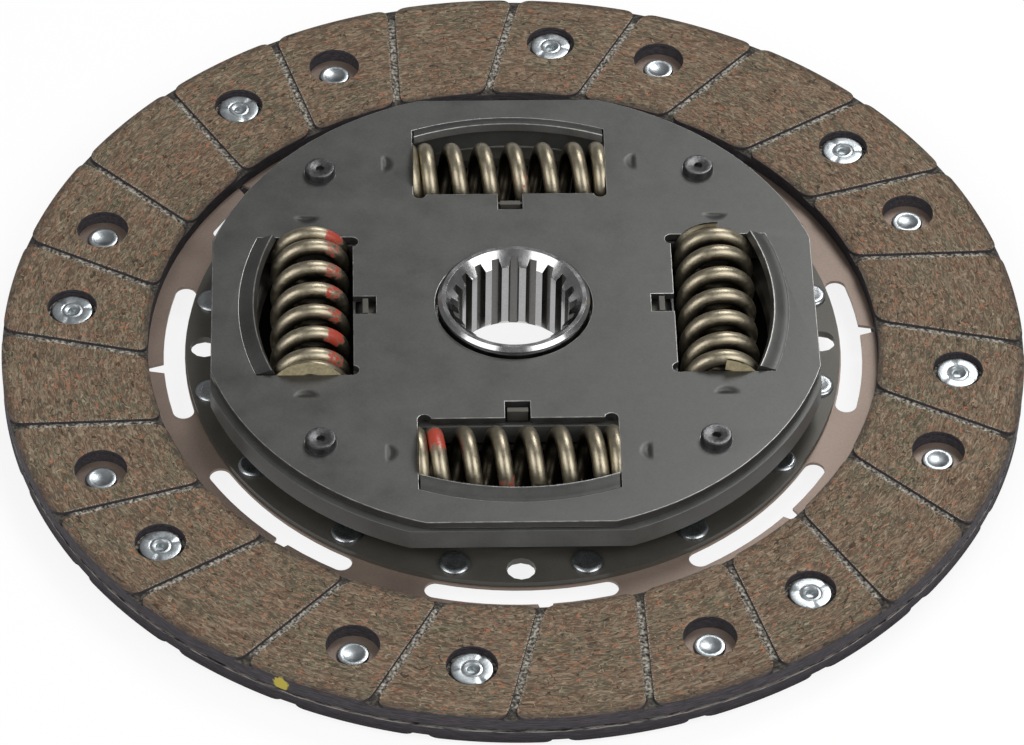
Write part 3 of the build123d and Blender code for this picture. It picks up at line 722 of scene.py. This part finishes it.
def flip():
    """Turns a piece of the gearbox side over onto the flywheel side."""
    turn = math.radians(FLIP_ANGLE)
    place = Matrix.Translation((0, 0, CUSHION_BASE))
    return place @ Matrix.Rotation(turn, 4, "Z") @ Matrix.Rotation(math.pi, 4, "X")


def wall(shape, here, there):
    """Faces all round between two rings of points."""
    corners = zip(here, there, there[1:] + there[:1], here[1:] + here[:1])
    return [shape.faces.new(four) for four in corners]


def lathed(profile, count, dimples=()):
    """A turned piece from (radius, height) pairs, from the axis at the top to the axis below.

    dimples are (angle, inner radius, depth): short radial nicks in the first surfaces.
    """
    shape = bmesh.new()
    rings = []
    for radius, height in profile:
        if radius == 0:
            rings.append([shape.verts.new((0, 0, height))])
            continue
        ring = []
        for i in range(count):
            angle = 360 * i / count
            lowered = height
            for nick, inner, depth in dimples:
                apart = angle_between(angle, nick)
                if apart < 11 and radius > inner and height > 0:
                    lowered -= depth * (1 - apart / 11)
            ring.append(shape.verts.new((*around(radius, angle), lowered)))
        rings.append(ring)
    for upper, lower in zip(rings, rings[1:]):
        if len(upper) == len(lower):
            wall(shape, upper, lower)
            continue
        for i in range(count):
            j = (i + 1) % count
            top = len(upper) == 1
            shape.faces.new((upper[0], lower[i], lower[j]) if top else (upper[i], lower[0], upper[j]))
    return finished(shape, "lathed")


def copies(name, make, places):
    """One mesh with a copy of a turned piece at each place."""
    meshes = [make() for _ in places]
    for mesh, place in zip(meshes, places):
        mesh.transform(place)
    return joined(name, meshes)


def circle_places(radius, angles, seed):
    """Places on a circle, each turned its own way."""
    chance = random.Random(seed)
    places = []
    for angle in angles:
        turn = Matrix.Rotation(chance.uniform(0, 2 * math.pi), 4, "Z")
        places.append(Matrix.Translation((*around(radius, angle), 0)) @ turn)
    return places


def mm_profile(*pairs):
    """A profile given in millimetres."""
    return [(radius * MM, height * MM) for radius, height in pairs]


def facing_rivet_mesh(sizes):
    """A semi-tubular rivet: a flat head with a countersunk middle, and a rolled end below."""
    head = (POCKET_FLOOR + RIVET_HEAD_HEIGHT) / MM
    under = POCKET_FLOOR / MM
    back = -(CUSHION_TOP - CUSHION_BASE) / MM
    end = back - RIVET_END_HEIGHT / MM
    profile = mm_profile(
        (0, head - 1.25), (0.85, head - 1.2), (1.05, head - 0.45), (1.55, head - 0.3), (1.85, head - 0.1),
        (2.3, head - 0.2), (2.6, head - 0.04), (4.0, head - 0.05), (4.45, head - 0.18), (4.65, head - 0.5),
        (4.6, under), (2.4, under), (2.4, back), (3.45, back), (3.5, back - 0.2), (3.25, end + 0.15),
        (2.75, end), (2.2, end + 0.12), (1.75, end + 0.4), (0, end + 0.45),
    )
    nicks = [(angle, 2.7 * MM, 0.28 * MM) for angle in (35, 155, 275)]
    return lathed(profile, sizes.lathe_steps, nicks)


def plate_rivet_mesh(sizes):
    """A button-headed rivet through the cushion plate and the driven plate."""
    top = CUSHION_TOP / MM + DRIVEN_THICKNESS / MM
    low = CUSHION_BASE / MM
    profile = mm_profile(
        (0, top + 0.86), (1.9, top + 0.9), (2.5, top + 1.0), (3.0, top + 0.9), (3.35, top + 0.6),
        (3.45, top + 0.2), (3.45, top), (2.4, top), (2.4, low), (3.45, low), (3.4, low - 0.5),
        (2.9, low - 0.9), (2.2, low - 1.0), (0, low - 0.9),
    )
    return lathed(profile, sizes.lathe_steps)


def stop_pin_mesh(sizes):
    """A shouldered pin whose ends are peened over, with a centre mark in each."""
    top = (COVER_TOP + PIN_PEEN_HEIGHT) / MM
    low = (DRIVEN_TOP - DRIVEN_THICKNESS - PIN_END_HEIGHT) / MM
    profile = mm_profile(
        (0, top - 1.4), (0.75, top - 1.3), (0.95, top - 0.35), (1.4, top - 0.2), (2.2, top - 0.12),
        (2.8, top), (3.15, top - 0.08), (3.4, top - 0.45), (3.45, COVER_BASE / MM), (4.5, COVER_BASE / MM),
        (4.5, DRIVEN_TOP / MM), (3.45, DRIVEN_TOP / MM), (3.45, low + 0.35), (3.2, low + 0.05), (2.8, low),
        (1.2, low + 0.2), (0.7, low + 0.3), (0, low + 0.9),
    )
    return lathed(profile, sizes.lathe_steps)


def dressed_mesh(node, edge, reshape=None, least_angle=32.0):
    """A node's own form with its facets welded and its corners broken, ready for finer finishes."""
    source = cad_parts[node].data
    shape = bmesh.new()
    shape.from_mesh(source)
    bmesh.ops.remove_doubles(shape, verts=shape.verts, dist=0.0005 * MM)
    bmesh.ops.dissolve_limit(shape, angle_limit=math.radians(0.5), verts=shape.verts, edges=shape.edges)
    if reshape:
        reshape(shape)
    least = math.radians(least_angle)
    sharp = [e for e in shape.edges if len(e.link_faces) == 2 and e.calc_face_angle() > least]
    for face in shape.faces:
        face.material_index = 0
    bmesh.ops.bevel(
        shape, geom=sharp, offset=edge, offset_type="OFFSET", segments=2, profile=0.5, affect="EDGES",
        clamp_overlap=True, material=1,
    )
    mesh = finished(shape, node)
    mesh.materials.clear()
    return mesh


def widen_mouth(shape):
    """Cuts the countersink at the hub's upper end wider and deeper."""
    slope = BORE_MOUTH_DEPTH / (BORE_MOUTH_RADIUS - SPLINE_TIP_RADIUS)
    new_slope = WIDER_MOUTH_DEPTH / (WIDER_MOUTH_RADIUS - SPLINE_TIP_RADIUS)
    for point in shape.verts:
        radius = point.co.xy.length
        down = HUB_TOP - point.co.z
        if down > BORE_MOUTH_DEPTH * 1.05 or abs(down - (BORE_MOUTH_RADIUS - radius) * slope) > 0.08 * MM:
            continue
        if down < 0.01 * MM:
            grown = WIDER_MOUTH_RADIUS / radius
            point.co.x *= grown
            point.co.y *= grown
        else:
            point.co.z = HUB_TOP - (WIDER_MOUTH_RADIUS - radius) * new_slope


def darken_grooves(mesh):
    """Gives the spline's grooves the second material."""
    for polygon in mesh.polygons:
        radius = polygon.center.xy.length
        in_groove = SPLINE_TIP_RADIUS + 0.2 * MM < radius < SPLINE_ROOT_RADIUS + 0.2 * MM
        polygon.material_index = 1 if in_groove and abs(polygon.normal.z) < 0.3 else 0


def turned_about(points, degrees_round):
    """Points turned round the axis."""
    turn = Matrix.Rotation(math.radians(degrees_round), 2)
    return [turn @ point for point in points]


def cover_outline():
    """The cover plate's outer edge, round with four flats."""
    flat = math.degrees(math.acos(COVER_FLAT / COVER_RADIUS))
    points = []
    for quarter in range(4):
        points += arc(COVER_RADIUS, 90 * quarter + flat, 90 * quarter + 90 - flat, 24)
    return points


def window_outline():
    """The opening of the window on +X up to the root of its lip, with reliefs and the tab's notch."""
    half = math.degrees(math.asin(WINDOW_HALF_LENGTH / LIP_ROOT_RADIUS))
    points = arc(LIP_ROOT_RADIUS, -half, half, 40)
    centre = Vector((WINDOW_INNER_EDGE + 0.2 * MM, WINDOW_HALF_LENGTH - RELIEF_RADIUS))
    side = [centre + around(RELIEF_RADIUS, 90 + 172 * i / 12) for i in range(13)]
    side.append(Vector((WINDOW_INNER_EDGE, NOTCH_HALF_WIDTH)))
    side.append(Vector((WINDOW_INNER_EDGE - NOTCH_DEPTH, NOTCH_HALF_WIDTH)))
    mirrored = [Vector((point.x, -point.y)) for point in reversed(side)]
    return points + side + mirrored


def lip_mesh():
    """The lip of the window on +X, bent up out of the cover plate and free at both ends."""
    profile = mm_profile(
        (61.15, -0.12), (60.95, -0.01), (60.6, 0.05), (60.1, 0.2), (59.5, 0.48), (58.9, 0.8), (58.3, 1.08),
        (57.95, 1.19), (57.78, 1.2), (57.66, 1.1), (57.0, -0.3), (57.15, -0.45), (58.2, -0.72),
        (59.6, -1.3), (60.6, -1.72), (61.15, -1.75),
    )
    count = 44
    reach = WINDOW_HALF_LENGTH - 0.35 * MM
    shape = bmesh.new()
    rows = []
    for i in range(count + 1):
        y = reach * (2 * i / count - 1)
        rows.append([shape.verts.new((math.sqrt(r * r - y * y), y, COVER_TOP + z)) for r, z in profile])
    for here, there in zip(rows, rows[1:]):
        for i, face in enumerate(wall(shape, here, there)):
            face.material_index = 1 if i in LIP_CREST else 0
    shape.faces.new(rows[0])
    shape.faces.new(reversed(rows[-1]))
    bmesh.ops.recalc_face_normals(shape, faces=shape.faces)
    return finished(shape, "lip")


def cover_mesh(sizes):
    """The cover plate with its four windows and their lips."""
    windows = [turned_about(window_outline(), 90 * i) for i in range(4)]
    bore = [round_outline(Vector((0, 0)), COVER_BORE, 120)]
    pins = [round_outline(around(PIN_CIRCLE, 45 + 90 * i), PIN_END_RADIUS) for i in range(4)]
    meshes = [stamped([cover_outline()] + windows + bore + pins, COVER_BASE, COVER_TOP, sizes.plate_edge)]
    worn_corners(meshes[0])
    for i in range(4):
        lip = lip_mesh()
        lip.transform(Matrix.Rotation(math.radians(90 * i), 4, "Z"))
        meshes.append(lip)
    return joined("cover_plate_stamped", meshes)


def worn_corners(mesh):
    """Gives the broken edges of a flat plate the second material, for bright worn steel."""
    for polygon in mesh.polygons:
        polygon.material_index = 1 if 0.2 < abs(polygon.normal.z) < 0.95 else 0


def wire_run(turn, wire):
    """How far along its axis a spring's wire has come after so many turns. The closed turns at both
    ends reach past the spring's length, where they are ground off."""
    closed = 2 * wire
    open_turns = SPRING_TURNS - 2 * SPRING_CLOSED_TURNS
    pitch = (SPRING_LENGTH + 2 * SPRING_GRIND - 2 * SPRING_CLOSED_TURNS * closed) / open_turns
    later = turn - SPRING_CLOSED_TURNS
    start = closed * min(turn, SPRING_CLOSED_TURNS) + pitch * min(max(later, 0), open_turns)
    return start + closed * max(later - open_turns, 0) - SPRING_LENGTH / 2 - SPRING_GRIND


def spring_mesh(sizes, number):
    """A coil spring with closed and ground ends, in the window that its number gives."""
    wire = sizes.wire_radius
    coil = SPRING_RADIUS - wire
    half = SPRING_LENGTH / 2
    count = round(SPRING_TURNS * sizes.turn_steps)
    roll = math.radians(SPRING_ROLLS[number])
    shape = bmesh.new()
    paint = shape.verts.layers.float.new("paint")
    soot = shape.verts.layers.float.new("soot")
    rings = []
    for i in range(count + 1):
        turn = SPRING_TURNS * i / count
        reach = min(0.12, turn, SPRING_TURNS - turn)
        soft = sum(wire_run(turn + reach * k, wire) for k in (-1, 0, 1)) / 3
        at = 2 * math.pi * turn + roll
        ring = []
        for side in range(sizes.wire_sides):
            round_wire = 2 * math.pi * side / sizes.wire_sides
            radius = coil + wire * math.cos(round_wire)
            x = max(-half, min(half, soft + wire * math.sin(round_wire)))
            point = shape.verts.new((x, radius * math.cos(at), radius * math.sin(at)))
            point[paint] = painted(number, turn, math.degrees(at) % 360) * (math.cos(round_wire) > -0.3)
            # Painted shade: the side of the wire that faces the coil's axis is marked dark
            point[soot] = max(0.0, min(1.0, 0.45 - 1.1 * math.cos(round_wire)))
            ring.append(point)
        rings.append(ring)
    for here, there in zip(rings, rings[1:]):
        for side in range(sizes.wire_sides):
            after = (side + 1) % sizes.wire_sides
            face = shape.faces.new((here[side], here[after], there[after], there[side]))
            if all(abs(abs(v.co.x) - half) < 0.001 * MM for v in face.verts):
                face.material_index = 1
    shape.faces.new(reversed(rings[0])).material_index = 1
    shape.faces.new(rings[-1]).material_index = 1
    bmesh.ops.recalc_face_normals(shape, faces=shape.faces)
    mesh = finished(shape, "spring")
    turn = Matrix.Rotation(math.radians(90 * number), 4, "Z")
    mesh.transform(turn @ Matrix.Translation((0, SPRING_CIRCLE, SPRING_MIDDLE)))
    return mesh


def painted(number, turn, angle):
    """How much marking paint lies on a spring's wire, from 0 to 1, by its turn and its angle."""
    most = 0.0
    for near_turn, middle, spread, strength in PAINT_MARKS[number]:
        if abs(turn - near_turn) < 0.45:
            apart = angle_between(angle, middle)
            most = max(most, strength * min(1.0, max(0.0, 1.6 - apart / spread)))
    return most


# ---- Operators


class CLUTCH_OT_camera(bpy.types.Operator):
    """Places the camera above the disc's near edge"""

    bl_idname = "clutch.camera"
    bl_label = "Camera"

    def execute(self, context):
        turn = (
            Matrix.Rotation(math.radians(CAMERA_ANGLE), 4, "Z")
            @ Matrix.Rotation(math.radians(90 - CAMERA_ELEVATION), 4, "X")
            @ Matrix.Rotation(math.radians(CAMERA_ROLL), 4, "Z")
        )
        data = bpy.data.cameras.new("camera")
        data.sensor_width = 36.0
        data.lens = CAMERA_LENS
        data.clip_end = 10.0
        camera = bpy.data.objects.new("camera", data)
        camera.matrix_world = Matrix.Translation(CAMERA_PLACE) @ turn
        context.scene.collection.objects.link(camera)
        context.scene.camera = camera
        return {"FINISHED"}


class CLUTCH_OT_stage(bpy.types.Operator):
    """Lays a pale floor and hangs soft studio lamps"""

    bl_idname = "clutch.stage"
    bl_label = "Stage"

    def execute(self, context):
        scene = context.scene
        scene.view_settings.view_transform = "Standard"
        bpy.ops.mesh.primitive_plane_add(size=8.0, location=(0, 0, 0))
        floor = context.active_object
        floor.name = "floor"
        floor.data.materials.append(self.floor_material(scene.look_colours))
        self.light_world(scene)
        for name, place, size, power in (
            ("lamp_over", (0.35, 0.6, 0.85), 0.45, 4.8),
            ("lamp_left", (-0.8, -0.6, 0.85), 0.9, 7.5),
            ("lamp_right", (0.8, -0.6, 0.85), 0.9, 9.5),
        ):
            data = bpy.data.lights.new(name, "AREA")
            data.energy = power
            data.size = size
            lamp = bpy.data.objects.new(name, data)
            lamp.location = place
            lamp.rotation_euler = (-Vector(place)).to_track_quat("-Z", "Y").to_euler()
            scene.collection.objects.link(lamp)
        return {"FINISHED"}

    def floor_material(self, colours):
        """Matt white paper. To the camera and in reflections most of it is plain white, and the rest
        of it still takes the disc's shadow. Under the damper all of it takes the shadow, and a painted
        shadow darkens the paper there too."""
        material = bpy.data.materials.new("white_paper")
        material.use_nodes = True
        material.node_tree.nodes.clear()
        add = partial(add_node, material.node_tree)
        white = add("Emission", {"Color": (1, 1, 1, 1), "Strength": 1.0})
        place = add("TexCoord", output="Object")
        moved = add("VectorMath", [place, (0, SHADE_OFFSET, 0)], operation="SUBTRACT")
        radius = add("VectorMath", [moved], "Value", operation="LENGTH")
        inside = add("MapRange", [radius, SHADE_INNER, SHADE_INNER - 3 * MM], **SMOOTH)
        outside = add("MapRange", [radius, SHADE_OUTER, SHADE_OUTER + 4 * MM], **SMOOTH)
        clear = add("Math", [inside, outside], operation="MAXIMUM")
        behind = add("NewGeometry", output="Backfacing")
        clear = add("Math", [clear, behind], operation="MAXIMUM")
        # Painted shadow: the paper turns near black under the damper
        shade = add("Mix", {0: clear, 6: linear("#1C1A18"), 7: colours.floor[:]}, **COLOUR_MIX)
        paper = add("BsdfDiffuse", {"Color": shade})
        white_share = add("Math", [clear, WHITE_SHARE], operation="MULTIPLY")
        share = add("Math", [self.seen_ray(add), white_share], operation="MULTIPLY")
        mixed = add("MixShader", [share, paper, white])
        add("OutputMaterial", {"Surface": mixed})
        return material

    def seen_ray(self, add):
        """1 for rays that the camera sends, straight or by a reflection."""
        path = add("LightPath").node.outputs
        seen = path["Is Camera Ray"]
        for name in ("Is Glossy Ray", "Is Transmission Ray"):
            seen = add("Math", [seen, path[name]], operation="MAXIMUM")
        return seen

    def light_world(self, scene):
        """Even white light from all round."""
        world = bpy.data.worlds.new("studio")
        scene.world = world
        world.use_nodes = True
        fill(world.node_tree.nodes["Background"], {"Color": (1, 1, 1, 1), "Strength": 0.2})


class CLUTCH_OT_facings(bpy.types.Operator):
    """Builds the two grooved friction facings"""

    bl_idname = "clutch.facings"
    bl_label = "Friction facings"

    def execute(self, context):
        sizes = context.scene.look_sizes
        upper = facing_mesh("facing_gearbox_side_lining", sizes)
        lower = upper.copy()
        lower.name = "facing_flywheel_side_lining"
        upper.transform(Matrix.Translation((0, 0, FACING_BACK)))
        lower.transform(flip())
        for mesh, node in ((upper, "facing_gearbox_side"), (lower, "facing_flywheel_side")):
            finish_piece(mesh.name, mesh, "disc", [node], ["lining"])
        return {"FINISHED"}


class CLUTCH_OT_facing_rivets(bpy.types.Operator):
    """Turns the rivets that hold the facings"""

    bl_idname = "clutch.facing_rivets"
    bl_label = "Facing rivets"

    def execute(self, context):
        sizes = context.scene.look_sizes
        angles = [RIVET_ANGLE + 45 * i for i in range(RIVET_COUNT)]
        for side, seed in (("gearbox", 3), ("flywheel", 5)):
            places = circle_places(RIVET_CIRCLE, angles, seed)
            mesh = copies(f"rivets_{side}_side", lambda: facing_rivet_mesh(sizes), places)
            mesh.transform(flip() if side == "flywheel" else Matrix.Translation((0, 0, FACING_BACK)))
            node = f"facing_rivets_{side}_side"
            finish_piece(f"semi_tubular_rivets_{side}", mesh, "disc", [node], ["zinc"])
        return {"FINISHED"}


class CLUTCH_OT_plate_rivets(bpy.types.Operator):
    """Turns the rivets between the cushion plate and the driven plate"""

    bl_idname = "clutch.plate_rivets"
    bl_label = "Plate rivets"

    def execute(self, context):
        sizes = context.scene.look_sizes
        angles = [45 * i + side * PLATE_RIVET_HALF_ANGLE for i in range(8) for side in (-1, 1)]
        places = circle_places(PLATE_RIVET_CIRCLE, angles, 7)
        mesh = copies("button_rivets", lambda: plate_rivet_mesh(sizes), places)
        finish_piece("button_rivets", mesh, "disc", ["plate_rivets"], ["rivet"])
        return {"FINISHED"}


class CLUTCH_OT_stop_pins(bpy.types.Operator):
    """Turns the four stop pins"""

    bl_idname = "clutch.stop_pins"
    bl_label = "Stop pins"

    def execute(self, context):
        sizes = context.scene.look_sizes
        places = circle_places(PIN_CIRCLE, [45, 135, 225, 315], 9)
        mesh = copies("peened_pins", lambda: stop_pin_mesh(sizes), places)
        finish_piece("peened_pins", mesh, "disc", ["stop_pins"], ["pin"])
        return {"FINISHED"}


class CLUTCH_OT_plates(bpy.types.Operator):
    """Breaks the edges of the stamped plates and gives them their steel"""

    bl_idname = "clutch.plates"
    bl_label = "Stamped plates"

    def execute(self, context):
        sizes = context.scene.look_sizes
        for node, body, slot, skin, edge in (
            ("driven_plate", "disc", "plate_steel", "driven", sizes.plate_edge),
            ("cushion_plate", "disc", "cushion_steel", "cushion", sizes.plate_edge / 2),
            ("hub_flange", "hub", "flange_steel", "forged", sizes.plate_edge),
            ("support_plate", "disc", "cushion_steel", "driven", sizes.plate_edge / 2),
        ):
            mesh = dressed_mesh(node, edge)
            finish_piece(f"{node}_dressed", mesh, body, [node], [skin, "edge"])
        cover = cover_mesh(sizes)
        finish_piece(cover.name, cover, "disc", ["cover_plate"], ["cover", "edge"])
        return {"FINISHED"}


class CLUTCH_OT_hub(bpy.types.Operator):
    """Breaks the hub's edges and gives it machined steel"""

    bl_idname = "clutch.hub"
    bl_label = "Hub"

    def execute(self, context):
        mesh = dressed_mesh("hub", context.scene.look_sizes.hub_edge, widen_mouth)
        darken_grooves(mesh)
        finish_piece("hub_dressed", mesh, "hub", ["hub"], ["hub", "groove"])
        return {"FINISHED"}


class CLUTCH_OT_springs(bpy.types.Operator):
    """Coils the four damper springs"""

    bl_idname = "clutch.springs"
    bl_label = "Damper springs"

    def execute(self, context):
        sizes = context.scene.look_sizes
        for number in range(4):
            mesh = spring_mesh(sizes, number)
            name, node = f"coil_spring_{number + 1}", f"damper_spring_{number + 1}"
            looks = ["spring", "ground_end"]
            piece = finish_piece(name, mesh, "springs", [node], looks, sharp_angle=50)
            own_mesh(piece)
        return {"FINISHED"}


class CLUTCH_OT_friction_pack(bpy.types.Operator):
    """Gives the hidden friction rings their finish"""

    bl_idname = "clutch.friction_pack"
    bl_label = "Friction pack"

    def execute(self, context):
        for node, key in (
            ("hub_bush", "plastic"),
            ("friction_ring_flywheel_side", "plastic"),
            ("friction_ring_gearbox_side", "plastic"),
            ("wave_washer", "cushion"),
        ):
            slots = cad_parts[node].data.materials
            slots.clear()
            slots.append(MATERIALS[key])
        return {"FINISHED"}


class CLUTCH_PT_panel(bpy.types.Panel):
    """Lists the steps and settings in the sidebar"""

    bl_label = "Clutch disc"
    bl_idname = "CLUTCH_PT_panel"
    bl_space_type = "VIEW_3D"
    bl_region_type = "UI"
    bl_category = "Clutch disc"

    def draw(self, context):
        for step in STEPS:
            self.layout.operator(step.bl_idname)
        for settings in (context.scene.look_sizes, context.scene.look_colours):
            for name in settings.__annotations__:
                self.layout.prop(settings, name)


STEPS = (
    CLUTCH_OT_camera,
    CLUTCH_OT_stage,
    CLUTCH_OT_facings,
    CLUTCH_OT_facing_rivets,
    CLUTCH_OT_plate_rivets,
    CLUTCH_OT_stop_pins,
    CLUTCH_OT_plates,
    CLUTCH_OT_hub,
    CLUTCH_OT_springs,
    CLUTCH_OT_friction_pack,
)
CLASSES = (LookSizes, LookColours, *STEPS, CLUTCH_PT_panel)


def register():
    """Registers the settings, the steps and the panel."""
    for kind in CLASSES:
        bpy.utils.register_class(kind)
    bpy.types.Scene.look_sizes = PointerProperty(type=LookSizes)
    bpy.types.Scene.look_colours = PointerProperty(type=LookColours)


def unregister():
    """Takes them away again."""
    del bpy.types.Scene.look_colours
    del bpy.types.Scene.look_sizes
    for kind in reversed(CLASSES):
        bpy.utils.unregister_class(kind)


def main():
    """Builds the whole look, step by step."""
    register()
    MATERIALS.update(make_materials(bpy.context.scene.look_colours))
    for step in STEPS:
        group, name = step.bl_idname.split(".")
        getattr(getattr(bpy.ops, group), name)()


if __name__ == "__main__":
    main()
